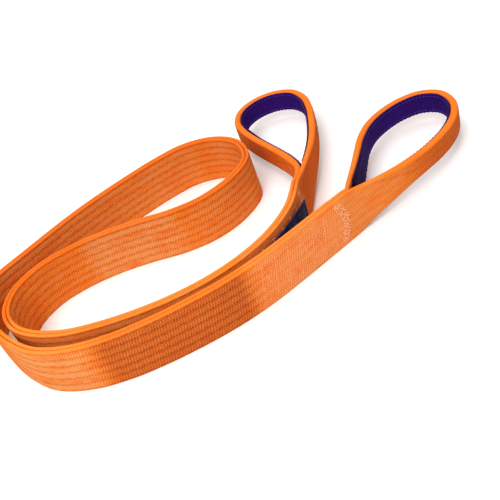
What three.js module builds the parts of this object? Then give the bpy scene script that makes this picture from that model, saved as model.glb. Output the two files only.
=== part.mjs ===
// Flat web sling: a two-ply strap of flat webbing with a folded, lined eye at each end.
//
// The sling stands on the edge of its webbing, folded once at its middle, and the doubled
// strap is bent into a U. Everything here is drawn in plan and given its height along Z.
// Millimetres, +Z up. The origin is the middle of the footprint, on the surface it stands on.
//
// Parts of the route, in order: eye A, leg A, outer turn, back run, fold, middle run,
// inner turn, leg B, eye B. The webbing bends about vertical lines only, so each place where
// one rigid stretch turns against the next has a short gap with the hinge line at its middle.

import * as THREE from "three";

// Middle of the footprint, in the coordinates that the plan routes below are drawn in
const PLAN_CENTRE = [-5.9, -4.45];

// Driving dimensions
const WEBBING_WIDTH = 50;
const PLY = 3.4;
const PLY_GAP = 0.4;
const TOUCH_GAP = 0.3;
const LINING = 1.6;
const THREAD = 1.2;
const LINING_THREAD = 0.8;
const TURN_GAP = 4;
const NECK_GAP = 3;
const EYE_HEIGHT = 24;
const LABEL_LENGTH = 70;
const LABEL_HEIGHT = 36;
const LABEL_THICKNESS = 1.2;
const LABEL_FROM_NECK = 20;
const SEAM_HEIGHT = 33;

// Facets: the longest step and the largest turn between two sections of a strap
const MAX_STEP = 16;
const MAX_TURN = THREE.MathUtils.degToRad(11);
const FINE_STEP = 1;

// Centre of the two-ply strap in plan, from neck A to neck B
const STRAP_ROUTE = [
  [92, -96.5], [65, -109], [34, -123.5], [3, -137], [-30, -147.5], [-63, -154], [-97, -158],
  [-131, -158.5], [-164, -153], [-194, -138.5], [-217, -113], [-234, -84], [-245.5, -58],
  [-248, -41], [-241, -25.5], [-226, -11], [-205, 3], [-179, 20.5], [-151, 38], [-121, 53.5],
  [-90, 67], [-58, 79], [-25, 85.5], [7, 76], [28, 51.5], [29.5, 18], [7, -7.5], [-24, -21.5],
  [-57, -23.5], [-91, -18], [-125, -15], [-159, -17.5], [-191, -28], [-213, -49], [-219.5, -74],
  [-212, -99], [-194, -118], [-168, -132], [-139, -139], [-105.5, -142.5], [-72, -142],
  [-38, -136.5], [-6, -125], [23, -107], [46, -82.5], [61, -53],
];

// Distances along the strap route to the two hinge lines of the U, and its ends
const OUTER_TURN_AT = 404;
const INNER_TURN_AT = 1072;

// Centre of each eye's folded webbing in plan, from one side of the neck round to the other
const EYE_A_ROUTE = [
  [113, -90], [134.5, -82], [155, -73.5], [175.5, -64.5], [195.5, -54], [213.5, -41], [228, -24],
  [236, -3.5], [233, 18.5], [217, 31.5], [195, 32.5], [173.5, 25.5], [155, 13.5], [140.5, -4],
  [130, -23.5], [120, -44], [110, -64], [101, -82],
];
const EYE_B_ROUTE = [
  [71, -18], [69.5, 5.5], [63, 27.5], [55, 49], [47, 71], [41, 93], [39.5, 116], [48.5, 136.5],
  [68, 148.5], [90.5, 148.5], [109.5, 136], [117, 114.5], [116, 91.5], [111.5, 69], [105.5, 46.5],
  [98, 24.5], [89, 3], [79.5, -17.5],
];

// How far from the neck each side of an eye takes to fold down to EYE_HEIGHT
const EYE_A_TAPER = { first: 95, last: 115 };
const EYE_B_TAPER = { first: 68, last: 110 };
const TAPER_POWER = 1.7;

// Where each lining starts and stops, along its eye from either side of the neck
const LINING_A_INSET = { first: 30, last: 22 };
const LINING_B_INSET = { first: 40, last: 46 };

// How far the lining's edges stay inside the webbing's: where it bears, and on the plain limbs.
// The bearing stretch is given as distances along each eye, with an easing length at its ends.
const LINING_EDGE = { bearing: 1, limb: 2.8, ease: 25 };
const BEARING_A = { from: 160, to: Infinity };
const BEARING_B = { from: 140, to: 270 };

// Stitching at the foot of an eye, in distances from the neck and heights
const SPLICE = { from: 22, to: 106, low: 7, high: 43, turns: 12 };
const BAR = { at: 9, bow: -6, depth: 3, low: 5, high: 45, turns: 12 };

const COLOURS = {
  webbing: 0xf57a28,
  lining: 0x2c1560,
  label: 0x191955,
  thread: 0xe88a4c,
  liningThread: 0x3d2a80,
};

function planCurve(points) {
  const vectors = points.map(([x, y]) => new THREE.Vector3(x - PLAN_CENTRE[0], y - PLAN_CENTRE[1], 0));
  const curve = new THREE.CatmullRomCurve3(vectors, false, "centripetal");
  curve.arcLengthDivisions = 2000;
  return curve;
}

// Sections between two distances along a curve: centre, left-hand normal and distance
function sectionsAlong(curve, from, to) {
  const length = curve.getLength();
  const steps = Math.ceil((to - from) / FINE_STEP);
  const sections = [];
  let lastTangent = null;
  let lastAt = 0;
  for (let i = 0; i <= steps; i += 1) {
    const at = from + ((to - from) * i) / steps;
    const tangent = curve.getTangentAt(Math.min(1, at / length));
    const turned = lastTangent ? tangent.angleTo(lastTangent) : Infinity;
    if (turned < MAX_TURN && at - lastAt < MAX_STEP && i < steps) continue;
    const centre = curve.getPointAt(Math.min(1, at / length));
    const normal = new THREE.Vector3(-tangent.y, tangent.x, 0);
    sections.push({ centre, normal, at });
    lastTangent = tangent;
    lastAt = at;
  }
  return sections;
}

// One closed solid through four-cornered sections: left and right faces, bottom and top edges
function solidThrough(sections) {
  const positions = [];
  for (const { centre, normal, left, right, bottom, top } of sections) {
    const onLeft = centre.clone().addScaledVector(normal, left);
    const onRight = centre.clone().addScaledVector(normal, right);
    positions.push(onLeft.x, onLeft.y, bottom, onRight.x, onRight.y, bottom);
    positions.push(onRight.x, onRight.y, top, onLeft.x, onLeft.y, top);
  }
  const indices = [0, 1, 2, 0, 2, 3];
  for (let i = 0; i + 1 < sections.length; i += 1) {
    for (let corner = 0; corner < 4; corner += 1) {
      const a = 4 * i + corner;
      const b = 4 * i + ((corner + 1) % 4);
      indices.push(a, a + 4, b + 4, a, b + 4, b);
    }
  }
  const end = 4 * (sections.length - 1);
  indices.push(end, end + 2, end + 1, end, end + 3, end + 2);
  const geometry = new THREE.BufferGeometry();
  geometry.setAttribute("position", new THREE.Float32BufferAttribute(positions, 3));
  geometry.setIndex(indices);
  geometry.computeVertexNormals();
  return geometry;
}

function namedMesh(name, geometry, kind) {
  const roughness = kind === "label" ? 0.7 : 0.85;
  const material = new THREE.MeshStandardMaterial({ color: COLOURS[kind], roughness, metalness: 0 });
  const mesh = new THREE.Mesh(geometry, material);
  mesh.name = name;
  return mesh;
}

// The two plies of one stretch of strap; the outer ply is on the outside of the outer turn
function plies(stretch, curve, from, to) {
  const sections = sectionsAlong(curve, from, to);
  const sides = {
    outer: { left: PLY_GAP / 2 + PLY, right: PLY_GAP / 2 },
    inner: { left: -PLY_GAP / 2, right: -PLY_GAP / 2 - PLY },
  };
  return Object.entries(sides).map(([side, faces]) => {
    const shaped = sections.map((section) => ({ ...section, ...faces, bottom: 0, top: WEBBING_WIDTH }));
    return namedMesh(`${stretch}_${side}_ply`, solidThrough(shaped), "webbing");
  });
}

// An eye's centre line: straight out of the neck, round its own points, and straight back in.
// The neck's heading points out of the strap; `turn` is +1 when the eye runs anticlockwise.
function eyeCurve(neck, heading, points, turn) {
  const across = new THREE.Vector3(-heading.y, heading.x, 0);
  const ply = (PLY + PLY_GAP) / 2;
  const onPly = (side, along) => {
    const point = neck.clone().addScaledVector(heading, along).addScaledVector(across, side * ply);
    return [point.x + PLAN_CENTRE[0], point.y + PLAN_CENTRE[1]];
  };
  const start = [onPly(-turn, NECK_GAP / 2), onPly(-turn, NECK_GAP / 2 + 7)];
  const end = [onPly(turn, NECK_GAP / 2 + 3.5), onPly(turn, NECK_GAP / 2)];
  return planCurve([...start, ...points, ...end]);
}

// Share of the fold at a distance along an eye: 0 is full width, 1 is folded in half
function foldedShare(at, length, taper) {
  const first = Math.max(0, 1 - at / taper.first);
  const last = Math.max(0, 1 - (length - at) / taper.last);
  return 1 - Math.max(first, last) ** TAPER_POWER;
}

function eyeSections(curve, taper) {
  const length = curve.getLength();
  return sectionsAlong(curve, 0, length).map((section) => {
    const share = foldedShare(section.at, length, taper);
    const height = WEBBING_WIDTH - (WEBBING_WIDTH - EYE_HEIGHT) * share;
    return { ...section, height, half: (PLY + (PLY + PLY_GAP) * share) / 2 };
  });
}

function eyeLoop(name, sections) {
  const middle = WEBBING_WIDTH / 2;
  const shaped = sections.map(({ centre, normal, height, half }) => ({
    centre, normal, left: half, right: -half, bottom: middle - height / 2, top: middle + height / 2,
  }));
  return namedMesh(`${name}_loop`, solidThrough(shaped), "webbing");
}

// Inset of the lining's edges at a distance along an eye
function liningEdge(at, bearing) {
  const outside = Math.max(bearing.from - at, at - bearing.to, 0);
  const share = Math.min(1, outside / LINING_EDGE.ease);
  return LINING_EDGE.bearing + (LINING_EDGE.limb - LINING_EDGE.bearing) * share;
}

// The lining follows the eye's inside face
function eyeLining(name, sections, inset, bearing, turn) {
  const middle = WEBBING_WIDTH / 2;
  const length = sections[sections.length - 1].at;
  const kept = sections.filter(({ at }) => at > inset.first && at < length - inset.last);
  const shaped = kept.map(({ centre, normal, height, half, at }) => {
    const near = turn * (half + TOUCH_GAP);
    const far = turn * (half + TOUCH_GAP + LINING);
    const edge = liningEdge(at, bearing);
    return {
      centre, normal, left: Math.max(near, far), right: Math.min(near, far),
      bottom: middle - height / 2 + edge, top: middle + height / 2 - edge,
    };
  });
  return namedMesh(`${name}_lining`, solidThrough(shaped), "lining");
}

// A seam along a lining, laid on its face as a thin flat-sided thread
function liningSeam(name, sections, inset, turn, height) {
  const length = sections[sections.length - 1].at;
  const kept = sections.filter(({ at }) => at > inset.first + 8 && at < length - inset.last - 8);
  const shaped = kept.map(({ centre, normal, half }) => {
    const near = turn * (half + TOUCH_GAP + LINING + TOUCH_GAP);
    const far = near + turn * LINING_THREAD;
    return {
      centre, normal, left: Math.max(near, far), right: Math.min(near, far),
      bottom: height - LINING_THREAD / 2, top: height + LINING_THREAD / 2,
    };
  });
  return namedMesh(name, solidThrough(shaped), "liningThread");
}

// A sewing thread laid on a face of the strap, through points given as [along, height]
function threadOnFace(name, curve, side, points) {
  const length = curve.getLength();
  const offset = PLY_GAP / 2 + PLY + TOUCH_GAP + THREAD / 2;
  const path = points.map(([along, height]) => {
    const centre = curve.getPointAt(along / length);
    const tangent = curve.getTangentAt(along / length);
    const normal = new THREE.Vector3(-tangent.y, tangent.x, 0);
    return centre.addScaledVector(normal, side * offset).setZ(height);
  });
  const half = THREAD / 2;
  const corners = [[half, 0], [0, half], [-half, 0], [0, -half]];
  const section = new THREE.Shape(corners.map(([x, y]) => new THREE.Vector2(x, y)));
  const extrudePath = new THREE.CatmullRomCurve3(path, false, "centripetal");
  const steps = 3 * (path.length - 1);
  const geometry = new THREE.ExtrudeGeometry(section, { steps, extrudePath, bevelEnabled: false });
  return namedMesh(name, geometry, "thread");
}

// The label lies over the stitching on leg B's inner-ply face and follows its bend
function label(curve, from, to) {
  const near = -(PLY_GAP / 2 + PLY + TOUCH_GAP + THREAD + TOUCH_GAP);
  const bottom = (WEBBING_WIDTH - LABEL_HEIGHT) / 2;
  const shaped = sectionsAlong(curve, from, to).map((section) => ({
    ...section, left: near, right: near - LABEL_THICKNESS, bottom, top: bottom + LABEL_HEIGHT,
  }));
  return namedMesh("label", solidThrough(shaped), "label");
}

// Zigzag between two distances from the neck and two heights
function zigzag({ from, to, low, high, turns }) {
  const points = [];
  for (let i = 0; i <= turns; i += 1) {
    points.push([from + ((to - from) * i) / turns, i % 2 === 0 ? low : high]);
  }
  return points;
}

// Bar of short stitches across the strap, bowed towards the eye at half height
function bowedBar({ at, bow, depth, low, high, turns }) {
  const points = [];
  for (let i = 0; i <= turns; i += 1) {
    const share = i / turns;
    const along = at + bow * Math.sin(Math.PI * share) + (i % 2 === 0 ? 0 : depth);
    points.push([along, low + (high - low) * share]);
  }
  return points;
}

const strap = planCurve(STRAP_ROUTE);
const strapLength = strap.getLength();
const sling = new THREE.Group();

sling.add(...plies("leg_a", strap, NECK_GAP / 2, OUTER_TURN_AT - TURN_GAP / 2));
sling.add(...plies("middle", strap, OUTER_TURN_AT + TURN_GAP / 2, INNER_TURN_AT - TURN_GAP / 2));
sling.add(...plies("leg_b", strap, INNER_TURN_AT + TURN_GAP / 2, strapLength - NECK_GAP / 2));

// Eye A runs anticlockwise from leg A's outer ply, and eye B clockwise from leg B's outer ply
const eyes = [
  {
    name: "eye_a", neck: strap.getPointAt(0), heading: strap.getTangentAt(0).negate(),
    route: EYE_A_ROUTE, taper: EYE_A_TAPER, inset: LINING_A_INSET, bearing: BEARING_A, turn: 1,
  },
  {
    name: "eye_b", neck: strap.getPointAt(1), heading: strap.getTangentAt(1),
    route: EYE_B_ROUTE, taper: EYE_B_TAPER, inset: LINING_B_INSET, bearing: BEARING_B, turn: -1,
  },
];
for (const eye of eyes) {
  const curve = eyeCurve(eye.neck, eye.heading, eye.route, eye.turn);
  const sections = eyeSections(curve, eye.taper);
  sling.add(eyeLoop(eye.name, sections));
  sling.add(eyeLining(eye.name, sections, eye.inset, eye.bearing, eye.turn));
  for (const [edge, height] of [["upper", SEAM_HEIGHT], ["lower", WEBBING_WIDTH - SEAM_HEIGHT]]) {
    sling.add(liningSeam(`${eye.name}_lining_thread_${edge}`, sections, eye.inset, eye.turn, height));
  }
}

// Splice stitching and the bar at the foot of each eye, on both faces of each leg
const legs = [
  { name: "leg_a", along: (fromNeck) => fromNeck },
  { name: "leg_b", along: (fromNeck) => strapLength - fromNeck },
];
for (const leg of legs) {
  for (const [face, side] of [["outer", 1], ["inner", -1]]) {
    const splice = zigzag(SPLICE).map(([fromNeck, height]) => [leg.along(fromNeck), height]);
    sling.add(threadOnFace(`${leg.name}_splice_thread_${face}`, strap, side, splice));
    const bar = bowedBar(BAR).map(([fromNeck, height]) => [leg.along(fromNeck), height]);
    sling.add(threadOnFace(`${leg.name}_neck_thread_${face}`, strap, side, bar));
  }
}

sling.add(label(strap, strapLength - LABEL_FROM_NECK - LABEL_LENGTH, strapLength - LABEL_FROM_NECK));

export default sling;
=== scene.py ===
"""Looks of a flat web sling: woven webbing, folded and lined eyes, stitching and a plain label.

The sling stands on the edge of its webbing. Every piece is a closed mesh swept along the plan
routes of the frame. Lengths below are in millimetres until they become a mesh, in metres.
"""

import math

import bpy
import numpy as np
from mathutils import Matrix, Vector


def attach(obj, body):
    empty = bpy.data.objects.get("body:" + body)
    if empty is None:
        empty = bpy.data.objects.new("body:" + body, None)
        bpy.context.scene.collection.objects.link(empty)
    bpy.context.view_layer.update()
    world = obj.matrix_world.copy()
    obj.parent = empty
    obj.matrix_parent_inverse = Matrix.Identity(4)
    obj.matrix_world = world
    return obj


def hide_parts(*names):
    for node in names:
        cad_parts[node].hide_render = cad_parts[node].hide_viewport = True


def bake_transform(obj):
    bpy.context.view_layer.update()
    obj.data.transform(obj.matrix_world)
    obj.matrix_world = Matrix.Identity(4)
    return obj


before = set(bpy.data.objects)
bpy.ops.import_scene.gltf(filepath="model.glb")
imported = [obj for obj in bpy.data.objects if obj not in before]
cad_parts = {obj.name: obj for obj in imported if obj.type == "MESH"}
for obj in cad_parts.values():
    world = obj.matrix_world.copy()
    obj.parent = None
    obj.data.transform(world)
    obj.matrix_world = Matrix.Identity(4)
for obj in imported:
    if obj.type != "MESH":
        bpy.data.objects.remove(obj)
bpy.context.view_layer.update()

MM = 0.001

# The frame's own sizes
PLAN_CENTRE = np.array([-5.9, -4.45])
WIDTH = 50.0
PLY = 3.4
PLY_GAP = 0.4
TOUCH_GAP = 0.3
LINING = 1.6
LINING_EDGE = {"bearing": 1.0, "limb": 2.8, "ease": 25.0}
LINING_THREAD = 0.8
THREAD = 1.2
NECK_GAP = 3.0
EYE_HEIGHT = 24.0
LABEL_LENGTH = 70.0
LABEL_HEIGHT = 36.0
LABEL_THICKNESS = 1.2
LABEL_FROM_NECK = 20.0
SEAM_HEIGHT = 33.0
OUTER_TURN_AT = 404.0
INNER_TURN_AT = 1072.0
TAPER_POWER = 1.7
PLY_OFFSET = (PLY + PLY_GAP) / 2

STRAP_ROUTE = [
    (92, -96.5), (65, -109), (34, -123.5), (3, -137), (-30, -147.5), (-63, -154), (-97, -158),
    (-131, -158.5), (-164, -153), (-194, -138.5), (-217, -113), (-234, -84), (-245.5, -58),
    (-248, -41), (-241, -25.5), (-226, -11), (-205, 3), (-179, 20.5), (-151, 38), (-121, 53.5),
    (-90, 67), (-58, 79), (-25, 85.5), (7, 76), (28, 51.5), (29.5, 18), (7, -7.5), (-24, -21.5),
    (-57, -23.5), (-91, -18), (-125, -15), (-159, -17.5), (-191, -28), (-213, -49), (-219.5, -74),
    (-212, -99), (-194, -118), (-168, -132), (-139, -139), (-105.5, -142.5), (-72, -142),
    (-38, -136.5), (-6, -125), (23, -107), (46, -82.5), (61, -53),
]
EYE_A_ROUTE = [
    (113, -90), (134.5, -82), (155, -73.5), (175.5, -64.5), (195.5, -54), (213.5, -41), (228, -24),
    (236, -3.5), (233, 18.5), (217, 31.5), (195, 32.5), (173.5, 25.5), (155, 13.5), (140.5, -4),
    (130, -23.5), (120, -44), (110, -64), (101, -82),
]
EYE_B_ROUTE = [
    (71, -18), (69.5, 5.5), (63, 27.5), (55, 49), (47, 71), (41, 93), (39.5, 116), (48.5, 136.5),
    (68, 148.5), (90.5, 148.5), (109.5, 136), (117, 114.5), (116, 91.5), (111.5, 69), (105.5, 46.5),
    (98, 24.5), (89, 3), (79.5, -17.5),
]

# Where the webbing is divided into pieces, as distances along the strap
EYE_LEAD_IN = 16.0
OUTER_RUN_END = 700.0
INNER_RUN_START = 1000.0
INNER_RUN_END = 1290.0
BLEND_REACH = 40.0
NECK_REACH = 14.0

# Woven ribs of the webbing
RIB_PITCH = 7.8
RIB_MIDDLE = 24.8
GROOVE_DEPTH = 0.5
GROOVE_WIDTH = 1.0
WEFT_PITCH = 2.4
YARN_PITCH = 0.98

# Stretches of the strap painted paler, partly as fading and partly as painted light, where the light falls
# most and where the strap lies in shade; and a stretch on leg A painted darker, with grime and stronger
# painted shade in the weave: from, to, how much
LIT_AND_FADED_STRETCHES = ((266, 326, 1.0), (440, 680, 0.4), (720, 850, 0.35), (890, 962, 1.0), (1100, 1290, 0.45))
SHADE_AND_DIRT_STRETCHES = ((126, 236, 1.0),)
# Stretch whose top rims are painted a deeper orange, painted shade that tones down their top-edge highlight:
# from, to, how much
DEEP_EDGE_STRETCH = (410, 1090, 1.0)

# Rows of the meshes along their routes, and points round a folded eye's section
PLY_ROW = 1.6
EYE_ROW = 1.5
LINING_ROW = 1.2
END_ROW = 0.03
OUTSIDE_POINTS = 44
INSIDE_POINTS = 24
TURN_POINTS = 27
EYE_RING = OUTSIDE_POINTS + INSIDE_POINTS + 2 * TURN_POINTS
FLAP_EDGE_POINT = 20
EDGE_POWER = 0.55

# Label and sewing
LABEL_HEM = 0.22
LABEL_LIFT = 2.6
THREAD_TWIST = 0.0009
SPLICE_TURNS = 12
SPLICE_SPAN = (22, 106)
SPLICE_LOW = 7
SPLICE_HIGH = 43
NECK_BAR = {"at": 9, "bow": 6, "low": 5, "tall": 40, "depth": 3.0, "teeth": 24}
NECK_ROWS = (0.0, 4.2)
LOOSE_ENDS = 9
FACE_OFFSET = PLY_GAP / 2 + PLY + 0.1


# ---------------------------------------------------------------- routes

def smooth_points(points, steps=40):
    """Centripetal Catmull-Rom line through the points, as a dense polyline."""
    p = np.array(points, float) - PLAN_CENTRE
    p = np.vstack([2 * p[0] - p[1], p, 2 * p[-1] - p[-2]])
    share = np.linspace(0, 1, steps, endpoint=False)[:, None]
    parts = []
    for i in range(1, len(p) - 2):
        before, start, end, after = p[i - 1:i + 3]
        gap = [max(float(np.sum((b - a) ** 2)) ** 0.25, 1e-4)
               for a, b in ((before, start), (start, end), (end, after))]
        leave = ((start - before) / gap[0] - (end - before) / (gap[0] + gap[1])
                 + (end - start) / gap[1]) * gap[1]
        arrive = ((end - start) / gap[1] - (after - start) / (gap[1] + gap[2])
                  + (after - end) / gap[2]) * gap[1]
        square = 3 * (end - start) - 2 * leave - arrive
        cube = 2 * (start - end) + leave + arrive
        parts.append(start + leave * share + square * share ** 2 + cube * share ** 3)
    parts.append(p[-2][None])
    return np.vstack(parts)


class PlanLine:
    """A line in plan that is read by distance along it."""

    def __init__(self, points):
        self.points = points
        steps = np.linalg.norm(np.diff(points, axis=0), axis=1)
        self.distance = np.concatenate([[0.0], np.cumsum(steps)])
        self.length = float(self.distance[-1])
        tangent = np.gradient(points, self.distance, axis=0)
        self.tangent = tangent / np.linalg.norm(tangent, axis=1)[:, None]

    def at(self, along):
        """Centres and left-hand normals at distances along the line."""
        along = np.atleast_1d(np.asarray(along, float))
        centre = np.stack([np.interp(along, self.distance, self.points[:, k]) for k in (0, 1)], -1)
        heading = np.stack([np.interp(along, self.distance, self.tangent[:, k]) for k in (0, 1)], -1)
        heading /= np.linalg.norm(heading, axis=1)[:, None]
        beyond = along - np.clip(along, 0, self.length)
        centre = centre + heading * beyond[:, None]
        return centre, np.stack([-heading[:, 1], heading[:, 0]], -1)


strap = PlanLine(smooth_points(STRAP_ROUTE))


def folded_height(fold):
    """Height of the webbing in an eye, for a share of the fold."""
    return WIDTH - (WIDTH - EYE_HEIGHT) * fold


def half_thickness(fold):
    """Half the webbing's thickness in an eye: one ply where it is flat, two where it is folded."""
    return (PLY + (PLY + PLY_GAP) * fold) / 2


class Eye:
    """One eye: its line runs out of one ply at the neck, round, and back into the other.

    Over the taper at either end the webbing folds in half. The lining starts and ends an inset from
    the neck, and is at its full height on the bearing."""

    def __init__(self, name, leg, route, turn, taper, inset, bearing, faded, deep, at_start):
        self.name, self.leg, self.turn, self.taper, self.inset = name, leg, turn, taper, inset
        self.bearing, self.faded, self.deep = bearing, faded, deep
        self.at_start = at_start
        centre, normal = strap.at([0.0 if at_start else strap.length])
        self.neck = centre[0]
        along = np.array([normal[0][1], -normal[0][0]])
        self.heading = -along if at_start else along
        self.across = np.array([-self.heading[1], self.heading[0]])
        start = [self.on_ply(-turn, NECK_GAP / 2), self.on_ply(-turn, NECK_GAP / 2 + 7)]
        end = [self.on_ply(turn, NECK_GAP / 2 + 3.5), self.on_ply(turn, NECK_GAP / 2)]
        loop = smooth_points(start + list(route) + end)
        lead = np.arange(EYE_LEAD_IN, 0.2, -1.0)
        before = self.along_leg(lead, -turn)
        after = self.along_leg(lead[::-1], turn)
        self.line = PlanLine(np.vstack([before, loop, after]))
        self.first = float(np.linalg.norm(np.diff(np.vstack([before, loop[:1]]), axis=0), axis=1).sum())
        self.last = self.line.length - float(
            np.linalg.norm(np.diff(np.vstack([loop[-1:], after]), axis=0), axis=1).sum())
        self.loop_length = self.last - self.first

    def on_ply(self, side, along):
        point = self.neck + self.heading * along + self.across * side * PLY_OFFSET
        return tuple(point + PLAN_CENTRE)

    def along_leg(self, distances, side):
        """Points on the middle of one ply of the leg, at distances from the neck."""
        along = distances if self.at_start else strap.length - distances
        centre, normal = strap.at(along)
        hand = -side if self.at_start else side
        return centre + normal * hand * PLY_OFFSET

    def fold(self, along):
        """Share of the fold at distances along the whole line: 0 is flat, 1 is folded in half."""
        at = np.clip(along - self.first, 0, self.loop_length)
        first = np.maximum(0, 1 - at / self.taper[0])
        last = np.maximum(0, 1 - (self.loop_length - at) / self.taper[1])
        return 1 - np.maximum(first, last) ** TAPER_POWER

    def lining_height(self, along):
        """Height of the lining, whose edges stay inside the webbing's by more on the plain limbs."""
        at = along - self.first
        outside = np.maximum(np.maximum(self.bearing[0] - at, at - self.bearing[1]), 0)
        share = np.minimum(1, outside / LINING_EDGE["ease"])
        edge = LINING_EDGE["bearing"] + (LINING_EDGE["limb"] - LINING_EDGE["bearing"]) * share
        return folded_height(self.fold(along)) - 2 * edge

    def lining_span(self):
        """Where the lining starts and ends along the whole line."""
        return self.first + self.inset[0], self.last - self.inset[1]

    def neck_blend(self):
        """Points on the leg side and the eye side of the neck."""
        return [tuple(Vector((*(self.neck + self.heading * reach), WIDTH / 2)) * MM)
                for reach in (-NECK_REACH, NECK_REACH)]


eye_a = Eye("eye_a", "leg_a", EYE_A_ROUTE, turn=1, taper=(95, 115), inset=(30, 22),
            bearing=(160, math.inf), faded=0.5, deep=0.1, at_start=True)
eye_b = Eye("eye_b", "leg_b", EYE_B_ROUTE, turn=-1, taper=(68, 110), inset=(40, 46),
            bearing=(140, 270), faded=0.15, deep=0.75, at_start=False)


# ---------------------------------------------------------------- woven relief

rib_wander = np.random.default_rng(11).uniform(0, 2 * math.pi, (7, 3))


def grooves(along, across, seed=0.0):
    """How far into a groove between ribs each point is, from 0 to 1.

    The grooves run straight for a moment where two pieces meet, so that both shade alike there."""
    along, across = np.broadcast_arrays(along, across)
    depth = np.zeros(along.shape)
    lively = np.ones(along.shape)
    for joint in (OUTER_RUN_END, INNER_RUN_START, INNER_RUN_END):
        lively = np.minimum(lively, np.clip((np.abs(along - joint) - 1.8) / 4, 0, 1))
    for k in range(-3, 4):
        phase = rib_wander[k + 3] + seed
        wander = 0.34 * np.sin(along * 2 * math.pi / 11.3 + phase[0])
        wander = (wander + 0.2 * np.sin(along * 2 * math.pi / 5.9 + phase[1])) * lively
        strength = 0.82 + 0.18 * np.sin(along * 2 * math.pi / 8.7 + phase[2]) * lively
        away = (across - RIB_MIDDLE - k * RIB_PITCH - wander) / GROOVE_WIDTH
        width = np.where(away > 0, 1.0, 1.7)
        depth = np.maximum(depth, strength * np.exp(-(away / width) ** 2))
    return depth


def hump(along, start, end, weight=1.0, ease=20.0):
    """A smooth stretch that has a weight between two distances and is 0 outside them."""
    rise = np.clip((along - start) / ease + 1, 0, 1)
    fall = np.clip((end - along) / ease + 1, 0, 1)
    return weight * rise * rise * (3 - 2 * rise) * fall * fall * (3 - 2 * fall)


def splice_share(from_neck):
    """How much of the rib relief the splice stitching pulls flat, by distance from the neck."""
    rise = np.clip((from_neck - 4) / 10, 0, 1)
    fall = np.clip((122 - from_neck) / 26, 0, 1)
    return rise * rise * (3 - 2 * rise) * fall * fall * (3 - 2 * fall)


# ---------------------------------------------------------------- meshes

def spaced_rows(start, end, step):
    """Evenly spaced distances, with a very short row at either end so the caps don't tint the side."""
    along = np.linspace(start, end, int(round((end - start) / step)) + 1)
    return np.concatenate([[start, start + END_ROW], along[1:-1], [end - END_ROW, end]])


def swept(name, centre, normal, across, height, uv, masks):
    """A closed mesh through rings: across and height are (rows, points) offsets in the section."""
    rows, points = across.shape
    xy = centre[:, None, :] + normal[:, None, :] * across[:, :, None]
    verts = np.concatenate([xy, height[:, :, None]], axis=2).reshape(-1, 3) * MM
    row, point = np.meshgrid(np.arange(rows - 1), np.arange(points), indexing="ij")
    beside = (point + 1) % points
    quads = np.stack([row * points + point, (row + 1) * points + point,
                      (row + 1) * points + beside, row * points + beside], -1).reshape(-1, 4)
    mesh = bpy.data.meshes.new(name)
    ends = [list(range(points)), [(rows - 1) * points + i for i in range(points)][::-1]]
    mesh.from_pydata(verts.tolist(), [], quads.tolist() + ends)
    spots = uv.reshape(-1, 2) * MM
    layer = mesh.uv_layers.new(name="cloth")
    corners = np.empty(len(mesh.loops), np.int32)
    mesh.loops.foreach_get("vertex_index", corners)
    layer.data.foreach_set("uv", spots[corners].astype(np.float32).ravel())
    for mask_name, values in masks.items():
        mask = mesh.attributes.new(mask_name, "FLOAT", "POINT")
        mask.data.foreach_set("value", np.broadcast_to(values, (rows, points)).astype(np.float32).ravel())
    smooth = np.ones(len(mesh.polygons), bool)
    smooth[-2:] = False
    mesh.polygons.foreach_set("use_smooth", smooth)
    piece = bpy.data.objects.new(name, mesh)
    bpy.context.scene.collection.objects.link(piece)
    face_outwards(piece)
    return piece


def face_outwards(piece):
    """Turns every face over if the closed mesh is inside out."""
    mesh = piece.data
    mesh.calc_loop_triangles()
    co = np.empty(len(mesh.vertices) * 3, np.float32)
    mesh.vertices.foreach_get("co", co)
    co = co.reshape(-1, 3).astype(float)
    tri = np.empty(len(mesh.loop_triangles) * 3, np.int32)
    mesh.loop_triangles.foreach_get("vertices", tri)
    a, b, c = (co[tri.reshape(-1, 3)[:, k]] for k in range(3))
    if np.einsum("ij,ij->i", a, np.cross(b, c)).sum() < 0:
        mesh.flip_normals()
    mesh.update()


def ply_section(points_on_face=60, points_on_edge=9):
    """Ring of a flat ply: across (+ left), height and how much of the face relief applies."""
    half = PLY / 2
    low, high = half, WIDTH - half
    face = np.linspace(low, high, points_on_face)
    angle = np.linspace(0, math.pi, points_on_edge + 2)[1:-1]
    out = half * np.sign(np.cos(angle)) * np.abs(np.cos(angle)) ** EDGE_POWER
    up = half * np.sin(angle) ** EDGE_POWER
    across = np.concatenate([np.full(points_on_face, half), out, np.full(points_on_face, -half), -out])
    height = np.concatenate([face, high + up, face[::-1], low - up])
    side = np.concatenate([np.ones(points_on_face), np.zeros(points_on_edge),
                           -np.ones(points_on_face), np.zeros(points_on_edge)])
    return across, height, side


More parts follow.
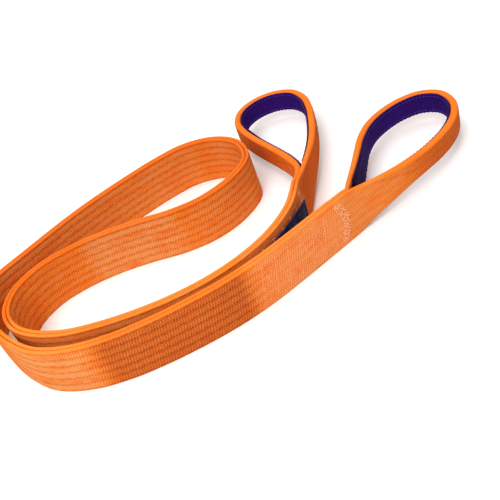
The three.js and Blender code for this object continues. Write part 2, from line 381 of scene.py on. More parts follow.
def ply_piece(name, start, end, side, seed):
    """One ply between two distances along the strap; side is +1 for the outer ply."""
    along = spaced_rows(start, end, PLY_ROW)
    centre, normal = strap.at(along)
    across, height, face = ply_section()
    groove = grooves(along[:, None], height[None, :], seed)
    sewn = splice_share(np.minimum(along, strap.length - along))[:, None]
    groove = groove * (1 - 0.75 * sewn)
    ease = np.clip((WIDTH / 2 - PLY / 2 - np.abs(height - WIDTH / 2)) / 1.2, 0, 1)[None, :]
    shaped = across[None, :] - face[None, :] * groove * GROOVE_DEPTH * ease
    flat = np.stack(np.broadcast_arrays(along[:, None], height[None, :]), -1)
    # Paler stretches, partly fading and partly painted light; the bottom edge is painted paler too
    lit_and_rubbed = sum(hump(along, *stretch) for stretch in LIT_AND_FADED_STRETCHES)[:, None]
    faded = np.maximum(lit_and_rubbed, 0.6 * np.clip((4.2 - height) / 2.5, 0, 1)[None, :])
    # Only the top edge gets the edge colour: a painted highlight in a redder orange
    edge = np.clip((height - WIDTH / 2 - 21.6) / 2.2, 0, 1)[None, :]
    # A darker stretch on leg A: grime colour with stronger painted shade in the weave and grooves
    shade_and_dirt = sum(hump(along, *stretch) for stretch in SHADE_AND_DIRT_STRETCHES)[:, None]
    # The groove mask carries painted shade for the grooves between ribs
    masks = {"groove": groove * np.abs(face)[None, :], "sewn": sewn, "edge_and_highlight": edge,
             # The top rims of the back run and the fold are painted a deeper orange, painted shade
             "faded": faded, "shade_and_dirt": shade_and_dirt, "deep": edge * hump(along, *DEEP_EDGE_STRETCH)[:, None]}
    return swept(name, centre, normal, side * PLY_OFFSET + shaped,
                 np.broadcast_to(height, shaped.shape), flat, masks)


def eye_section(fold, half, lie):
    """Ring of the webbing with both edges turned in: across (+ to the lining side) and height.

    Out along the outside face, round one turned edge, over the flap, back in the slit under it,
    along the inside, and the same at the other edge. lie is the webbing's own cross coordinate."""
    straight = folded_height(fold) / 2 - half
    flap = max(0.6, min(13 * fold, straight - 0.25))
    flap_ply = max(0.3, PLY * fold)
    slit = 0.1 + 0.2 * fold
    inner = half - flap_ply
    under = inner - slit
    turn = np.linspace(-math.pi / 2, math.pi / 2, 11)[1:-1]
    outside = np.linspace(-straight, straight, OUTSIDE_POINTS)
    inside = np.linspace(straight, -straight, INSIDE_POINTS + 2)[1:-1]
    upper = []
    for angle in turn:
        upper.append((half * math.sin(angle), straight + half * math.cos(angle)))
    for share in np.linspace(0, 1, 8):
        upper.append((half, straight - (flap - 0.3) * share))
    upper.append((half - 0.15 * flap_ply, straight - flap + 0.08))
    upper.append((half - 0.5 * flap_ply, straight - flap))
    upper.append((half - 0.85 * flap_ply, straight - flap + 0.08))
    for share in np.linspace(1, 0, 5):
        upper.append((inner, straight - (flap - 0.3) * share))
    upper.append(((inner + under) / 2, straight + slit / 2))
    upper.append((under, straight))
    upper = np.array(upper)
    ring = np.vstack([np.stack([np.full(OUTSIDE_POINTS, -half), outside], -1), upper,
                      np.stack([np.full(INSIDE_POINTS, under), inside], -1), (upper * [1, -1])[::-1]])
    step = np.linalg.norm(np.diff(upper, axis=0), axis=1)
    around = straight + half * (math.pi / 10) + np.concatenate([[0], np.cumsum(step)])
    around[FLAP_EDGE_POINT:] = 2 * around[FLAP_EDGE_POINT] - around[FLAP_EDGE_POINT:]
    lie[:] = np.concatenate([outside, around, inside, -around[::-1]])
    return ring


def eye_piece(eye, seed):
    """The folded webbing of an eye, from the leg's ply round to its other ply."""
    along = spaced_rows(0.0, eye.line.length, EYE_ROW)
    rows = len(along)
    centre, normal = eye.line.at(along)
    fold = eye.fold(along)
    half = half_thickness(fold)
    across = np.zeros((rows, EYE_RING))
    height = np.zeros((rows, EYE_RING))
    lie = np.zeros((rows, EYE_RING))
    for i in range(rows):
        ring = eye_section(fold[i], half[i], lie[i])
        across[i], height[i] = ring[:, 0], ring[:, 1]
    flat_across = lie + WIDTH / 2
    from_neck = np.minimum(along - eye.first, eye.last - along)
    sewn = splice_share(-from_neck)[:, None]
    groove = grooves(along[:, None], flat_across, seed)
    groove *= (0.42 - 0.2 * fold[:, None] + 0.58 * sewn) * (1 - 0.75 * sewn)
    outside = np.zeros(EYE_RING)
    outside[:OUTSIDE_POINTS] = 1
    across = across + outside * groove * GROOVE_DEPTH
    near = along - eye.first
    crease_at = np.interp(near, [12, 30, 60, 95], [19, 15, 4, -6])
    crease_on = np.clip((near - 18) / 15, 0, 1) * np.clip((92 - near) / 25, 0, 1)
    crease = crease_on[:, None] * np.exp(-((height - crease_at[:, None]) / 1.5) ** 2)
    swell = crease_on[:, None] * np.exp(-((height - crease_at[:, None] + 4.5) / 3.0) ** 2)
    across = across + outside * (0.55 * crease - 0.3 * swell)
    pucker = 0.12 * np.sin(along / 2.9 + 1.3 * np.sin(along / 7.1 + seed))[:, None]
    across = across - outside * pucker * fold[:, None]
    # Painted paler near the neck
    faded = hump(from_neck, -EYE_LEAD_IN, 30, eye.faded, 30)[:, None]
    # Painted shade on the eye's outer faces round the crown, which also raises the deep mask there
    shade_and_dirt = hump(from_neck, 110, 400, 0.8, 60)[:, None]
    deep = np.maximum(hump(from_neck, 12, 400, eye.deep)[:, None], shade_and_dirt)
    # Edge colour on both edges of the flat webbing near the necks, and a painted highlight along the eye's
    # top rim, where the painted shade is held back
    edge = np.clip((np.abs(flat_across - WIDTH / 2) - 21.6) / 2.2, 0, 1) * (1 - fold[:, None])
    top = folded_height(fold)[:, None] / 2
    rim = np.clip((height - top + 3.2) / 1.6, 0, 1)
    edge = np.maximum(edge, rim)
    deep = deep * (1 - 0.85 * rim)
    shade_and_dirt = shade_and_dirt * (1 - 0.8 * rim)
    flat = np.stack([along[:, None] * np.ones_like(flat_across), flat_across], -1)
    # The groove mask carries painted shade for the grooves and along the crease
    masks = {"groove": groove + 0.35 * outside * crease, "sewn": sewn,
             "edge_and_highlight": edge, "faded": faded, "shade_and_dirt": shade_and_dirt, "deep": deep}
    return swept(f"{eye.name}_webbing", centre, normal, eye.turn * across, height + WIDTH / 2, flat, masks)


def lining_piece(eye, seed):
    """The wear lining: a woven strip with soft edges on the inside of an eye."""
    start, end = eye.lining_span()
    along = spaced_rows(start, end, LINING_ROW)
    centre, normal = eye.line.at(along)
    fold = eye.fold(along)
    half = half_thickness(fold)
    tall = eye.lining_height(along) / 2
    count = 22
    level = np.linspace(-1, 1, count)
    round_edge = np.sqrt(np.clip(1 - np.clip((np.abs(level) - 0.93) / 0.07, 0, 1) ** 2, 0.04, 1))
    # Painted shade towards both ends of the lining
    end_shade = 1 - hump(along, start + 80, end - 90, 1.0, 65)[:, None]
    pucker = np.sin(along[:, None] * 2 * math.pi / 9.2 + 2.2 * level + seed) * 0.16
    pucker = pucker + np.sin(along[:, None] * 2 * math.pi / 4.6 + seed) * 0.07
    seam = np.exp(-((np.abs(level * tall[:, None]) - (SEAM_HEIGHT - WIDTH / 2)) / 0.8) ** 2)
    near = (half + TOUCH_GAP)[:, None] + LINING / 2 * (1 - round_edge)
    far = (half + TOUCH_GAP + LINING / 2)[:, None] + LINING / 2 * round_edge * (1 + pucker) - 0.35 * seam
    scallop = 0.25 * np.sin(along * 2 * math.pi / 4.6 + seed)
    height = level * (tall + scallop)[:, None]
    across = np.concatenate([far, near[:, ::-1]], 1)
    height = np.concatenate([height, height[:, ::-1]], 1)
    flat = np.stack([along[:, None] * np.ones_like(height), height + WIDTH / 2], -1)
    # The groove mask here is the seam's dip, for painted shade
    masks = {"groove": np.concatenate([seam, 0 * seam], 1), "shade_and_dirt": end_shade}
    return swept(f"{eye.name}_lining_cloth", centre, normal, eye.turn * across, height + WIDTH / 2,
                 flat, masks)


def label_piece():
    """A plain woven tag, sewn at the end away from the neck, its free end lifting off the strap."""
    start = strap.length - LABEL_FROM_NECK - LABEL_LENGTH
    end = strap.length - LABEL_FROM_NECK
    rows = 71
    along = np.linspace(start, end, rows)
    centre, normal = strap.at(along)
    count = 40
    level = np.linspace(-1, 1, count)
    near = PLY_GAP / 2 + PLY + TOUCH_GAP + THREAD + TOUCH_GAP
    share = (along - start) / LABEL_LENGTH
    lift = LABEL_LIFT * np.clip((share - 0.35) / 0.65, 0, 1)[:, None] ** 2 * (1 + 0.35 * level)
    wave = 0.25 * np.sin(share * 9)[:, None] * level
    hem = LABEL_HEM * np.clip((np.abs(level) - 0.84) / 0.04, 0, 1)
    end_hem = LABEL_HEM * np.clip((np.abs(share - 0.5) - 0.46) / 0.01, 0, 1)[:, None]
    thick = LABEL_THICKNESS / 2 - LABEL_HEM + np.maximum(hem, end_hem)
    soft = np.sqrt(np.clip(1 - np.clip((np.abs(level) - 0.975) / 0.025, 0, 1) ** 2, 0.05, 1))
    middle = near + LABEL_THICKNESS / 2 + lift + wave
    across = np.concatenate([middle + thick * soft, (middle - thick * soft)[:, ::-1]], 1)
    height = np.concatenate([level, level[::-1]]) * LABEL_HEIGHT / 2 * np.ones((rows, 1))
    flat = np.stack([along[:, None] * np.ones_like(height), height + WIDTH / 2], -1)
    hem_line = (np.abs(hem - LABEL_HEM / 2) < 0.06).astype(float)
    masks = {"groove": np.concatenate([hem_line, np.zeros(count)])}
    return swept("woven_label", centre, normal, -across, height + WIDTH / 2, flat, masks)


# ---------------------------------------------------------------- materials

def new_material(name):
    material = bpy.data.materials.new(name)
    material.use_nodes = True
    tree = material.node_tree
    shader = next(n for n in tree.nodes if n.type == "BSDF_PRINCIPLED")
    return material, tree, shader


def put(tree, kind, values=None, **settings):
    """Adds a node; values are given by input name or index."""
    node = tree.nodes.new(kind)
    for key, value in settings.items():
        setattr(node, key, value)
    for key, value in (values or {}).items():
        node.inputs[key].default_value = value
    return node


def math_node(tree, operation, a, b=None, c=None):
    node = put(tree, "ShaderNodeMath", operation=operation)
    for i, value in enumerate((a, b, c)):
        if value is None:
            continue
        if isinstance(value, (int, float)):
            node.inputs[i].default_value = value
        else:
            tree.links.new(value, node.inputs[i])
    return node.outputs[0]


def times(tree, a, b):
    return math_node(tree, "MULTIPLY", a, b)


def scaled(tree, value, factor, base):
    """A value times a factor, on top of a base."""
    return math_node(tree, "MULTIPLY_ADD", value, factor, base)


def rest(tree, share):
    """What a share leaves of 1."""
    return math_node(tree, "SUBTRACT", 1.0, share)


def mix_colour(tree, share, a, b):
    """Colour a, moved towards colour b by a share."""
    node = put(tree, "ShaderNodeMix", data_type="RGBA")
    for socket, value in ((node.inputs[0], share), (node.inputs[6], a), (node.inputs[7], b)):
        if isinstance(value, (int, float)):
            socket.default_value = value
        elif isinstance(value, tuple):
            socket.default_value = (*value, 1)
        else:
            tree.links.new(value, socket)
    return node.outputs[2]


def noise(tree, vector, scale, detail, roughness):
    """Noise over a vector; its scale is a number or a socket."""
    node = put(tree, "ShaderNodeTexNoise", {"Detail": detail, "Roughness": roughness})
    tree.links.new(vector, node.inputs["Vector"])
    if isinstance(scale, float):
        node.inputs["Scale"].default_value = scale
    else:
        tree.links.new(scale, node.inputs["Scale"])
    return node.outputs[0]


def spread(tree, value, low, high, top=1.0):
    """A value stretched so that low becomes 0 and high becomes top, and held between them."""
    node = put(tree, "ShaderNodeMapRange", {"From Min": low, "From Max": high, "To Max": top})
    tree.links.new(value, node.inputs["Value"])
    return node.outputs[0]


def group_tree(name, inputs, outputs):
    """A shader node group with named inputs, their values to start from, and named outputs."""
    tree = bpy.data.node_groups.new(name, "ShaderNodeTree")
    for label, kind, value in inputs:
        socket = tree.interface.new_socket(label, in_out="INPUT", socket_type=kind)
        if value is not None:
            socket.default_value = value
    for label, kind in outputs:
        tree.interface.new_socket(label, in_out="OUTPUT", socket_type=kind)
    return tree, put(tree, "NodeGroupInput"), put(tree, "NodeGroupOutput")


def weave_group():
    """Woven cloth from a cloth map in metres: weft ridges crossed by warp yarns."""
    tree, source, sink = group_tree(
        "weave",
        [("Cloth", "NodeSocketVector", None), ("Weft Pitch", "NodeSocketFloat", WEFT_PITCH * MM),
         ("Yarn Pitch", "NodeSocketFloat", YARN_PITCH * MM), ("Wander", "NodeSocketFloat", 0.22)],
        [("Ridge", "NodeSocketFloat"), ("Yarn", "NodeSocketFloat"), ("Height", "NodeSocketFloat")])
    split = put(tree, "ShaderNodeSeparateXYZ")
    tree.links.new(source.outputs["Cloth"], split.inputs[0])
    along, across = split.outputs[0], split.outputs[1]
    wander = noise(tree, source.outputs["Cloth"], 160.0, 2.0, 0.6)
    drift = times(tree, math_node(tree, "SUBTRACT", wander, 0.5),
                  times(tree, source.outputs["Wander"], 4.0))
    turns = math_node(tree, "ADD", math_node(tree, "DIVIDE", along, source.outputs["Weft Pitch"]), drift)
    column = math_node(tree, "FLOOR", math_node(tree, "DIVIDE", across, 0.0039))
    turns = math_node(tree, "ADD", turns, times(tree, column, 0.37))
    ridge = math_node(tree, "SINE", times(tree, turns, 2 * math.pi))
    ridge = scaled(tree, ridge, 0.5, 0.5)
    yarns = math_node(tree, "ADD", math_node(tree, "DIVIDE", across, source.outputs["Yarn Pitch"]), drift)
    yarn = math_node(tree, "SINE", times(tree, yarns, 2 * math.pi))
    yarn = scaled(tree, yarn, 0.5, 0.5)
    lean = times(tree, yarn, ridge)
    height = math_node(tree, "ADD", times(tree, ridge, 0.6), times(tree, lean, 0.4))
    for label, value in (("Ridge", ridge), ("Yarn", yarn), ("Height", height)):
        tree.links.new(value, sink.inputs[label])
    return tree


def mottle_group():
    """Slow colour drift, fine speckle and scuffed patches, all from 0 to 1."""
    tree, source, sink = group_tree(
        "mottle",
        [("Position", "NodeSocketVector", None), ("Drift Scale", "NodeSocketFloat", 14.0),
         ("Speckle Scale", "NodeSocketFloat", 900.0)],
        [("Drift", "NodeSocketFloat"), ("Speckle", "NodeSocketFloat"), ("Scuff", "NodeSocketFloat")])
    place = source.outputs["Position"]
    drift = noise(tree, place, source.outputs["Drift Scale"], 3.0, 0.6)
    speckle = noise(tree, place, source.outputs["Speckle Scale"], 2.0, 0.6)
    patches = noise(tree, place, 60.0, 5.0, 0.7)
    tree.links.new(spread(tree, drift, 0.35, 0.65), sink.inputs["Drift"])
    tree.links.new(spread(tree, speckle, 0.3, 0.7), sink.inputs["Speckle"])
    tree.links.new(spread(tree, patches, 0.52, 0.72), sink.inputs["Scuff"])
    return tree


weave = weave_group()
mottle = mottle_group()


def cloth_inputs(tree):
    """The cloth map, the place on the object and the two shared groups, wired up."""
    cloth = put(tree, "ShaderNodeUVMap", uv_map="cloth")
    spot = put(tree, "ShaderNodeTexCoord")
    woven = put(tree, "ShaderNodeGroup", node_tree=weave)
    tree.links.new(cloth.outputs[0], woven.inputs["Cloth"])
    mottled = put(tree, "ShaderNodeGroup", node_tree=mottle)
    tree.links.new(spot.outputs["Object"], mottled.inputs["Position"])
    return cloth, spot, woven, mottled


def mask_value(tree, name):
    return put(tree, "ShaderNodeAttribute", attribute_name=name, attribute_type="GEOMETRY").outputs["Fac"]


def bump(tree, shader, height, strength, distance):
    """Small relief on a material, from a height between 0 and 1."""
    node = put(tree, "ShaderNodeBump", {"Strength": strength, "Distance": distance})
    tree.links.new(height, node.inputs["Height"])
    tree.links.new(node.outputs[0], shader.inputs["Normal"])


def speckled_roughness(tree, shader, mottled, speckle, base):
    rough = scaled(tree, mottled.outputs["Speckle"], speckle, base)
    tree.links.new(rough, shader.inputs["Roughness"])


def webbing_material():
    material, tree, shader = new_material("orange_webbing")
    cloth, _, woven, mottled = cloth_inputs(tree)
    groove, sewn, edge_and_highlight, faded, shade_and_dirt, deep = (
        mask_value(tree, n) for n in ("groove", "sewn", "edge_and_highlight", "faded", "shade_and_dirt", "deep"))
    base = mix_colour(tree, mottled.outputs["Drift"], (0.86, 0.262, 0.033), (0.79, 0.222, 0.027))
    salmon = mix_colour(tree, mottled.outputs["Drift"], (0.84, 0.345, 0.14), (0.86, 0.31, 0.105))
    scuffed = math_node(tree, "MAXIMUM", times(tree, sewn, 0.85), times(tree, mottled.outputs["Scuff"], 0.25))
    colour = mix_colour(tree, scuffed, base, salmon)
    # Paler colour, partly fading and partly painted light
    patchy = scaled(tree, mottled.outputs["Scuff"], 0.35, 0.65)
    colour = mix_colour(tree, times(tree, faded, patchy), colour, (0.80, 0.385, 0.145))
    stretch = put(tree, "ShaderNodeMapping", {"Scale": (34.0, 120.0, 1.0)})
    tree.links.new(cloth.outputs[0], stretch.inputs["Vector"])
    streaks = noise(tree, stretch.outputs[0], 1.0, 4.0, 0.65)
    colour = mix_colour(tree, spread(tree, streaks, 0.5, 0.66, 0.75), colour, (0.86, 0.165, 0.022))
    colour = mix_colour(tree, spread(tree, streaks, 0.47, 0.33, 0.55), colour, (0.88, 0.30, 0.13))
    # Deeper orange: painted shade on the back run's and fold's top rims and round the eye crowns, and a
    # deeper tone given per eye elsewhere on the eyes
    colour = mix_colour(tree, times(tree, deep, 0.8), colour, (0.68, 0.125, 0.006))
    # Grime colour on leg A and painted shade round the eye crowns, in patches
    patchy_darkening = scaled(tree, mottled.outputs["Scuff"], 0.25, 0.5)
    colour = mix_colour(tree, times(tree, shade_and_dirt, patchy_darkening), colour, (0.4, 0.085, 0.02))
    # Painted highlight on the top edges, in a redder orange, held back where the deep mask paints shade
    edge_and_highlight_share = times(tree, edge_and_highlight, scaled(tree, deep, -0.7, 0.7))
    colour = mix_colour(tree, edge_and_highlight_share, colour, (0.9, 0.2, 0.02))
    # Painted shade in the weave's valleys, stronger on leg A and round the eye crowns, held back on the top
    # edges
    shade = times(tree, rest(tree, woven.outputs["Height"]), scaled(tree, shade_and_dirt, 0.28, 0.42))
    shade = times(tree, shade, rest(tree, times(tree, edge_and_highlight, 0.7)))
    colour = mix_colour(tree, shade, colour, (0.34, 0.058, 0.008))
    # Painted shade in the grooves between ribs and along the eye crease, stronger on leg A
    groove_shade = times(tree, groove, scaled(tree, shade_and_dirt, 0.42, 0.46))
    colour = mix_colour(tree, groove_shade, colour, (0.30, 0.05, 0.01))
    # Painted highlight on the weave's ridges, in a paler orange
    pale = times(tree, times(tree, woven.outputs["Ridge"], mottled.outputs["Speckle"]), 0.16)
    colour = mix_colour(tree, pale, colour, (1.0, 0.46, 0.2))
    tree.links.new(colour, shader.inputs["Base Color"])
    speckled_roughness(tree, shader, mottled, 0.16, 0.66)
    shader.inputs["Sheen Weight"].default_value = 0.03
    shader.inputs["Sheen Roughness"].default_value = 0.45
    shader.inputs["Sheen Tint"].default_value = (1.0, 0.4, 0.12, 1)
    shader.inputs["Specular IOR Level"].default_value = 0.03
    grain = math_node(tree, "ADD", woven.outputs["Height"],
                      times(tree, mottled.outputs["Speckle"], 0.35))
    bump(tree, shader, grain, 0.75, 0.00035)
    return material


def lining_material():
    material, tree, shader = new_material("purple_lining")
    _, _, woven, mottled = cloth_inputs(tree)
    woven.inputs["Weft Pitch"].default_value = 0.0017
    woven.inputs["Yarn Pitch"].default_value = 0.0012
    groove, shade_and_dirt = mask_value(tree, "groove"), mask_value(tree, "shade_and_dirt")
    base = mix_colour(tree, mottled.outputs["Drift"], (0.06, 0.006, 0.24), (0.036, 0.004, 0.16))
    # Painted shade, nearly black, towards the lining's ends
    base = mix_colour(tree, times(tree, shade_and_dirt, 0.85), base, (0.01, 0.001, 0.022))
    # Painted shade in the weave's valleys
    shade = times(tree, rest(tree, woven.outputs["Height"]), 0.9)
    colour = mix_colour(tree, shade, base, (0.008, 0.002, 0.032))
    # Painted shade in the seam's dip
    colour = mix_colour(tree, times(tree, groove, 0.5), colour, (0.01, 0.003, 0.04))
    pale = times(tree, times(tree, woven.outputs["Yarn"], mottled.outputs["Speckle"]), 0.36)
    colour = mix_colour(tree, pale, colour, (0.17, 0.06, 0.5))
    tree.links.new(colour, shader.inputs["Base Color"])
    speckled_roughness(tree, shader, mottled, 0.2, 0.6)
    shader.inputs["Specular IOR Level"].default_value = 0.06
    bump(tree, shader, woven.outputs["Height"], 0.8, 0.0004)
    return material


def label_material():
    material, tree, shader = new_material("navy_label")
    _, spot, woven, mottled = cloth_inputs(tree)
    woven.inputs["Weft Pitch"].default_value = 0.0011
    woven.inputs["Yarn Pitch"].default_value = 0.0011
    groove = mask_value(tree, "groove")
    base = mix_colour(tree, mottled.outputs["Drift"], (0.009, 0.010, 0.085), (0.006, 0.007, 0.05))
    clouds = noise(tree, spot.outputs["Object"], 190.0, 3.0, 0.6)
    flecks = times(tree, scaled(tree, woven.outputs["Ridge"], 0.5, 0.5), spread(tree, clouds, 0.5, 0.68))
    colour = mix_colour(tree, flecks, base, (0.04, 0.085, 0.3))
    colour = mix_colour(tree, groove, colour, (0.005, 0.006, 0.03))
    colour = mix_colour(tree, times(tree, mottled.outputs["Scuff"], 0.2), colour, (0.2, 0.22, 0.4))
    tree.links.new(colour, shader.inputs["Base Color"])
    speckled_roughness(tree, shader, mottled, 0.2, 0.45)
    shader.inputs["Specular IOR Level"].default_value = 0.15
    bump(tree, shader, woven.outputs["Height"], 0.5, 0.0003)
    return material


def thread_material(name, pale, deep):
    material, tree, shader = new_material(name)
    spot = put(tree, "ShaderNodeTexCoord")
    mottled = put(tree, "ShaderNodeGroup", node_tree=mottle)
    tree.links.new(spot.outputs["Object"], mottled.inputs["Position"])
    plies = put(tree, "ShaderNodeTexWave",
                {"Scale": 1 / THREAD_TWIST / 6, "Distortion": 2.0, "Detail": 1.0},
                wave_type="BANDS", bands_direction="DIAGONAL")
    tree.links.new(spot.outputs["Object"], plies.inputs["Vector"])
    share = times(tree, plies.outputs["Fac"], mottled.outputs["Speckle"])
    tree.links.new(mix_colour(tree, share, deep, pale), shader.inputs["Base Color"])
    speckled_roughness(tree, shader, mottled, 0.2, 0.5)
    bump(tree, shader, plies.outputs["Fac"], 0.4, 0.0002)
    return material


orange_webbing = webbing_material()
purple_lining = lining_material()
navy_label = label_material()
salmon_thread = thread_material("salmon_thread", (0.88, 0.38, 0.16), (0.82, 0.30, 0.11))
pale_thread = thread_material("pale_thread", (0.85, 0.62, 0.45), (0.8, 0.36, 0.17))
violet_thread = thread_material("violet_thread", (0.14, 0.07, 0.42), (0.05, 0.02, 0.2))


# ---------------------------------------------------------------- stitches

def stitch_tree():
    """Geometry Nodes: one short thread at every pitch along a path, turned along it."""
    tree = bpy.data.node_groups.new("stitch_row", "GeometryNodeTree")
    tree.is_modifier = True
    tree.interface.new_socket("Geometry", in_out="INPUT", socket_type="NodeSocketGeometry")
    for label, value in (("Pitch", 0.003), ("Stitch Length", 0.0024), ("Thread Width", 0.001),
                         ("Wobble", 0.1)):
        tree.interface.new_socket(label, in_out="INPUT", socket_type="NodeSocketFloat").default_value = value
    tree.interface.new_socket("Seed", in_out="INPUT", socket_type="NodeSocketInt").default_value = 1
    tree.interface.new_socket("Thread", in_out="INPUT", socket_type="NodeSocketMaterial")
    tree.interface.new_socket("Geometry", in_out="OUTPUT", socket_type="NodeSocketGeometry")
    source, sink = put(tree, "NodeGroupInput"), put(tree, "NodeGroupOutput")
    link = tree.links.new
    line = put(tree, "GeometryNodeMeshToCurve")
    link(source.outputs["Geometry"], line.inputs[0])
    spaced = put(tree, "GeometryNodeResampleCurve", mode="LENGTH")
    link(line.outputs[0], spaced.inputs["Curve"])
    link(source.outputs["Pitch"], spaced.inputs["Length"])
    tangent = put(tree, "GeometryNodeInputTangent")
    aligned = put(tree, "FunctionNodeAlignRotationToVector", axis="X")
    link(tangent.outputs[0], aligned.inputs["Vector"])
    jitter = put(tree, "FunctionNodeRandomValue", data_type="FLOAT_VECTOR")
    reach = put(tree, "ShaderNodeCombineXYZ")
    low = put(tree, "ShaderNodeVectorMath", operation="SCALE")
    for i in range(3):
        link(source.outputs["Wobble"], reach.inputs[i])
    link(reach.outputs[0], low.inputs[0])
    low.inputs["Scale"].default_value = -1.0
    link(low.outputs[0], jitter.inputs["Min"])
    link(reach.outputs[0], jitter.inputs["Max"])
    link(source.outputs["Seed"], jitter.inputs["Seed"])
    turned = put(tree, "FunctionNodeRotateRotation", rotation_space="LOCAL")
    link(aligned.outputs[0], turned.inputs[0])
    link(jitter.outputs[0], turned.inputs[1])
    thread = put(tree, "GeometryNodeMeshUVSphere", {"Segments": 8, "Rings": 6, "Radius": 0.5})
    size = put(tree, "ShaderNodeCombineXYZ")
    link(source.outputs["Stitch Length"], size.inputs[0])
    link(source.outputs["Thread Width"], size.inputs[1])
    link(source.outputs["Thread Width"], size.inputs[2])
    placed = put(tree, "GeometryNodeInstanceOnPoints")
    link(spaced.outputs[0], placed.inputs["Points"])
    link(thread.outputs["Mesh"], placed.inputs["Instance"])
    link(turned.outputs[0], placed.inputs["Rotation"])
    link(size.outputs[0], placed.inputs["Scale"])
    real = put(tree, "GeometryNodeRealizeInstances")
    link(placed.outputs[0], real.inputs[0])
    soft = put(tree, "GeometryNodeSetShadeSmooth")
    link(real.outputs[0], soft.inputs[0])
    painted = put(tree, "GeometryNodeSetMaterial")
    link(soft.outputs[0], painted.inputs["Geometry"])
    link(source.outputs["Thread"], painted.inputs["Material"])
    link(painted.outputs[0], sink.inputs[0])
    return tree


stitch_row = stitch_tree()


def stitches(name, paths, material, pitch, length, width, wobble, seed):
    """Stitches along one or more paths in millimetres, as one plain mesh."""
    verts, edges = [], []
    for path in paths:
        first = len(verts)
        verts += [tuple(np.asarray(p) * MM) for p in path]
        edges += [(first + i, first + i + 1) for i in range(len(path) - 1)]
    mesh = bpy.data.meshes.new(name + "_path")
    mesh.from_pydata(verts, edges, [])
    guide = bpy.data.objects.new(name + "_path", mesh)
    bpy.context.scene.collection.objects.link(guide)
    modifier = guide.modifiers.new("stitches", "NODES")
    modifier.node_group = stitch_row
    values = {"Pitch": pitch * MM, "Stitch Length": length * MM, "Thread Width": width * MM,
              "Wobble": wobble, "Seed": seed, "Thread": material}
    for item in stitch_row.interface.items_tree:
        if item.item_type == "SOCKET" and item.in_out == "INPUT" and item.name in values:
            modifier[item.identifier] = values[item.name]
    ready = guide.evaluated_get(bpy.context.evaluated_depsgraph_get())
    plain = bpy.data.meshes.new_from_object(ready)
    plain.name = name
    bpy.data.objects.remove(guide)
    piece = bpy.data.objects.new(name, plain)
    bpy.context.scene.collection.objects.link(piece)
    return piece


def on_strap(along, height, offset):
    """Points on a face of the strap, at distances along it, heights and an offset to the left."""
    centre, normal = strap.at(along)
    point = centre + normal * offset
    return np.column_stack([point, np.broadcast_to(height, len(point))])


def dense(points, step=0.8):
    """A polyline with points no further apart than step."""
    points = np.asarray(points, float)
    out = [points[:1]]
    for a, b in zip(points[:-1], points[1:]):
        count = max(1, int(math.ceil(np.linalg.norm(b - a) / step)))
        out.append(a + (b - a) * (np.arange(1, count + 1) / count)[:, None])
    return np.vstack(out)


def lining_stitches(eye, edge, height):
    """One seam along an eye's lining."""
    start, end = eye.lining_span()
    along = np.arange(start + 8, end - 8, 1.0)
    centre, normal = eye.line.at(along)
    reach = half_thickness(eye.fold(along)) + TOUCH_GAP + LINING - 0.1
    seam = centre + normal * (eye.turn * reach)[:, None]
    path = np.column_stack([seam, np.full(len(seam), height)])
    return stitches(f"{eye.name}_lining_stitches_{edge}", [path], violet_thread, 3.6, 2.9,
                    LINING_THREAD, 0.06, 3)


def on_leg(eye, line, offset):
    """A line of distances from the neck and heights, laid on a face of the eye's leg."""
    along = line[:, 0] if eye.at_start else strap.length - line[:, 0]
    return on_strap(along, line[:, 1], offset)


def splice_stitches(eye, face, side):
    """The zigzag that sews the splice, on one face of the leg."""
    first, last = SPLICE_SPAN
    zigzag = [(first + (last - first) * i / SPLICE_TURNS, SPLICE_LOW if i % 2 == 0 else SPLICE_HIGH)
              for i in range(SPLICE_TURNS + 1)]
    path = on_leg(eye, dense(zigzag), side * FACE_OFFSET)
    return stitches(f"{eye.leg}_splice_stitches_{face}", [path], salmon_thread, 2.9, 2.4, 0.8, 0.12, 5)


def neck_stitches(eye, face, side):
    """Broken rows of stitches bowed across the neck, with loose ends, on one face of the leg."""
    ragged = np.random.default_rng(31 + side + 10 * int(eye.at_start))
    offset = side * FACE_OFFSET
    teeth, low, tall = NECK_BAR["teeth"], NECK_BAR["low"], NECK_BAR["tall"]
    paths = []
    for row in NECK_ROWS:
        bar = []
        for i in range(teeth + 1):
            share = i / teeth
            sweep = NECK_BAR["at"] + row - NECK_BAR["bow"] * math.sin(math.pi * share)
            sweep += 0 if i % 2 == 0 else NECK_BAR["depth"]
            bar.append((sweep + ragged.uniform(-0.9, 0.9),
                        low + tall * share + ragged.uniform(-0.7, 0.7)))
        cuts = [0, *sorted(ragged.choice(np.arange(3, teeth - 2), 3, replace=False)), teeth + 1]
        paths += [on_leg(eye, dense(bar[a:b], 0.6), offset)
                  for a, b in zip(cuts[:-1], cuts[1:]) if b - a > 1]
    for _ in range(LOOSE_ENDS):
        share = ragged.uniform(0.05, 0.95)
        sweep = NECK_BAR["at"] + 2 - NECK_BAR["bow"] * math.sin(math.pi * share)
        root = np.array([sweep + ragged.uniform(-3, 4), low + tall * share])
        lean = ragged.uniform(-2.5, 2.5, 2)
        loose = dense([root, root + lean * 0.5, root + lean], 0.6)
        paths.append(on_leg(eye, loose, offset + side * 0.5 * np.linspace(0, 1, len(loose))[:, None]))
    return stitches(f"{eye.leg}_neck_stitches_{face}", paths, pale_thread, 1.9, 2.1, 0.75, 0.45, 8)


# ---------------------------------------------------------------- the sling

def dress(piece, material):
    piece.data.materials.clear()
    piece.data.materials.append(material)
    return piece


def hinge_blend(along):
    """Points just before and after a turn, along the strap's own direction there."""
    centre, normal = strap.at([along])
    heading = np.array([normal[0][1], -normal[0][0]])
    points = [centre[0] + heading * reach for reach in (-BLEND_REACH, BLEND_REACH)]
    return [tuple(Vector((*p, WIDTH / 2)) * MM) for p in points]


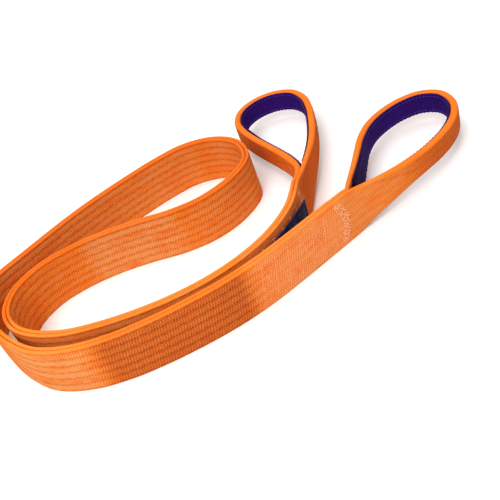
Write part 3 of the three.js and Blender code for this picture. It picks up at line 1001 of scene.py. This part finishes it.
SIDES = (("outer", 1, 0.4), ("inner", -1, 1.9))
for side_name, side, seed in SIDES:
    before, after = hinge_blend(OUTER_TURN_AT)
    piece = ply_piece(f"outer_run_{side_name}_ply", EYE_LEAD_IN, OUTER_RUN_END, side, seed)
    dress(piece, orange_webbing)
    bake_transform(piece)
    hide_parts(f"leg_a_{side_name}_ply")

    piece = ply_piece(f"fold_{side_name}_ply", OUTER_RUN_END, INNER_RUN_START, side, seed)
    dress(piece, orange_webbing)
    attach(piece, "middle")
    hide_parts(f"middle_{side_name}_ply")

    before, after = hinge_blend(INNER_TURN_AT)
    piece = ply_piece(f"inner_run_{side_name}_ply", INNER_RUN_START, INNER_RUN_END, side, seed)
    dress(piece, orange_webbing)
    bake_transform(piece)

    end = strap.length - EYE_LEAD_IN
    piece = ply_piece(f"leg_b_end_{side_name}_ply", INNER_RUN_END, end, side, seed)
    dress(piece, orange_webbing)
    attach(piece, "leg_b")
    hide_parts(f"leg_b_{side_name}_ply")

for eye, seed in ((eye_a, 0.7), (eye_b, 2.3)):
    leg_side, eye_side = eye.neck_blend()
    piece = eye_piece(eye, seed)
    dress(piece, orange_webbing)
    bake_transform(piece)
    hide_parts(f"{eye.name}_loop")

    lining = lining_piece(eye, seed)
    dress(lining, purple_lining)
    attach(lining, eye.name)
    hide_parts(f"{eye.name}_lining")
    start, end = eye.lining_span()
    steps = np.linspace(start, end, 200)
    tall = eye.lining_height(steps)

    for edge, height in (("upper", SEAM_HEIGHT), ("lower", WIDTH - SEAM_HEIGHT)):
        row = lining_stitches(eye, edge, height)
        dress(row, violet_thread)
        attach(row, eye.name)
        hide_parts(f"{eye.name}_lining_thread_{edge}")

    for face, side in (("outer", 1), ("inner", -1)):
        splice = splice_stitches(eye, face, side)
        dress(splice, salmon_thread)
        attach(splice, eye.leg)
        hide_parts(f"{eye.leg}_splice_thread_{face}")

        neck = neck_stitches(eye, face, side)
        dress(neck, pale_thread)
        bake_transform(neck)
        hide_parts(f"{eye.leg}_neck_thread_{face}")

label = label_piece()
dress(label, navy_label)
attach(label, "label")
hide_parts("label")


# ---------------------------------------------------------------- camera, floor and light

camera = bpy.data.objects.new("camera", bpy.data.cameras.new("camera"))
bpy.context.scene.collection.objects.link(camera)
right = Vector((0.92861, -0.22883, -0.29211))
up = Vector((0.37107, 0.57266, 0.73101))
forward = Vector((0.0, 0.78721, -0.61669))
turn = Matrix((right, up, -forward)).transposed().to_4x4()
camera.matrix_world = Matrix.Translation((0.0059, -0.5806, 0.4114)) @ turn
camera.data.lens = 51.19
camera.data.sensor_width = 36
camera.data.clip_start = 0.01
bpy.context.scene.camera = camera

floor_mesh = bpy.data.meshes.new("floor")
floor_mesh.from_pydata([(-4, -4, 0), (4, -4, 0), (4, 4, 0), (-4, 4, 0)], [], [(0, 1, 2, 3)])
floor = bpy.data.objects.new("floor", floor_mesh)
bpy.context.scene.collection.objects.link(floor)
floor_paint, _, floor_shader = new_material("pale_floor")
floor_shader.inputs["Base Color"].default_value = (0.86, 0.86, 0.86, 1)
floor_shader.inputs["Roughness"].default_value = 0.9
floor_mesh.materials.append(floor_paint)

world = bpy.data.worlds.new("studio")
world.use_nodes = True
background = world.node_tree.nodes["Background"]
background.inputs["Color"].default_value = (1.0, 0.99, 0.97, 1)
background.inputs["Strength"].default_value = 0.52
bpy.context.scene.world = world


def soft_light(name, place, aim, size, power):
    data = bpy.data.lights.new(name, "AREA")
    data.shape = "DISK"
    data.size = size
    data.energy = power
    light = bpy.data.objects.new(name, data)
    light.location = place
    light.rotation_euler = (Vector(aim) - Vector(place)).to_track_quat("-Z", "Y").to_euler()
    bpy.context.scene.collection.objects.link(light)


soft_light("key", (-0.45, -1.1, 1.5), (0, -0.05, 0.02), 1.3, 24)
soft_light("top", (-0.1, 0.3, 2.2), (-0.1, 0.1, 0), 2.0, 20)

bpy.context.scene.view_settings.view_transform = "Standard"
bpy.context.scene.view_settings.look = "Medium High Contrast"
